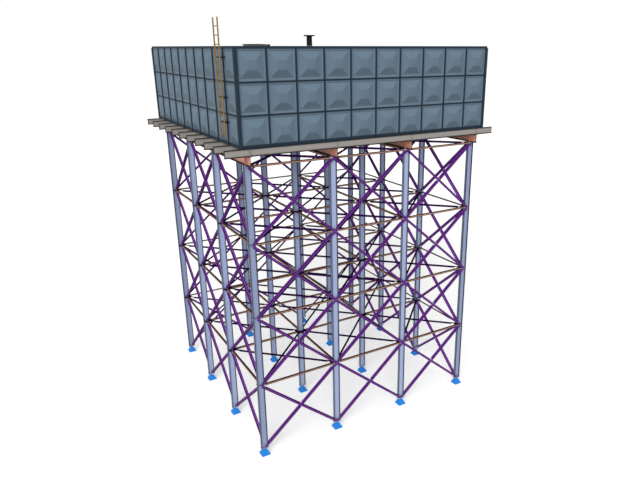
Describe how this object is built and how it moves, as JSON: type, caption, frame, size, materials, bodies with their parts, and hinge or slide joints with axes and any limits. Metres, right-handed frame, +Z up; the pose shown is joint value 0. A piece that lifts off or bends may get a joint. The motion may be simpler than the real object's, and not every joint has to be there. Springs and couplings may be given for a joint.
{
  "type": "water tower",
  "caption": "Square water tank of pressed steel panels on a tall braced steel tower of columns, with a roof ladder, a hinged roof hatch and a vent pipe.",
  "frame": {"origin": "on the ground, under the middle of the tank", "axes": "+X to the right along the front, +Y from the front to the back, +Z up"},
  "size_m": [13.54, 12.35, 18.9109],
  "materials": {
    "column_paint": "satin light blue paint",
    "brace_paint": "satin purple paint",
    "strut_paint": "satin tan paint",
    "primary_beam_paint": "satin salmon paint",
    "joist_paint": "satin grey-beige paint",
    "tank_paint": "satin slate-blue paint",
    "ladder_paint": "satin ochre paint",
    "fitting_paint": "dark slate paint"
  },
  "bodies": {
    "tower": {"back_bracing_1": "brace_paint", "back_bracing_2": "brace_paint", "back_bracing_3": "brace_paint", "column_A1": "column_paint", "column_A2": "column_paint", "column_A3": "column_paint", "column_A4": "column_paint", "column_B1": "column_paint", "column_B2": "column_paint", "column_B3": "column_paint", "column_B4": "column_paint", "column_C1": "column_paint", "column_C2": "column_paint", "column_C3": "column_paint", "column_C4": "column_paint", "column_D1": "column_paint", "column_D2": "column_paint", "column_D3": "column_paint", "column_D4": "column_paint", "front_bracing_1": "brace_paint", "front_bracing_2": "brace_paint", "front_bracing_3": "brace_paint", "hatch_neck": "fitting_paint", "joist_01": "joist_paint", "joist_02": "joist_paint", "joist_03": "joist_paint", "joist_04": "joist_paint", "joist_05": "joist_paint", "joist_06": "joist_paint", "joist_07": "joist_paint", "joist_08": "joist_paint", "joist_09": "joist_paint", "joist_10": "joist_paint", "joist_11": "joist_paint", "ladder": "ladder_paint", "ladder_bracket_1": "fitting_paint", "ladder_bracket_2": "fitting_paint", "ladder_bracket_3": "fitting_paint", "left_bracing_1": "brace_paint", "left_bracing_2": "brace_paint", "left_bracing_3": "brace_paint", "level_1_frame": "strut_paint", "level_2_frame": "strut_paint", "level_3_frame": "strut_paint", "level_4_frame": "strut_paint", "primary_beam_1": "primary_beam_paint", "primary_beam_2": "primary_beam_paint", "primary_beam_3": "primary_beam_paint", "primary_beam_4": "primary_beam_paint", "right_bracing_1": "brace_paint", "right_bracing_2": "brace_paint", "right_bracing_3": "brace_paint", "tank_floor": "tank_paint", "tank_roof": "tank_paint", "tank_wall_back": "tank_paint", "tank_wall_front": "tank_paint", "tank_wall_left": "tank_paint", "tank_wall_right": "tank_paint", "vent_pipe": "fitting_paint"},
    "lid": {"hatch_lid": "fitting_paint"}
  },
  "joints": [
    {"name": "hatch_hinge", "type": "hinge", "parent": "tower", "child": "lid", "pos_m": [-3.98, -4.27, 17.9462], "axis": [0, 1, 0], "range_deg": [0, 110]}
  ]
}
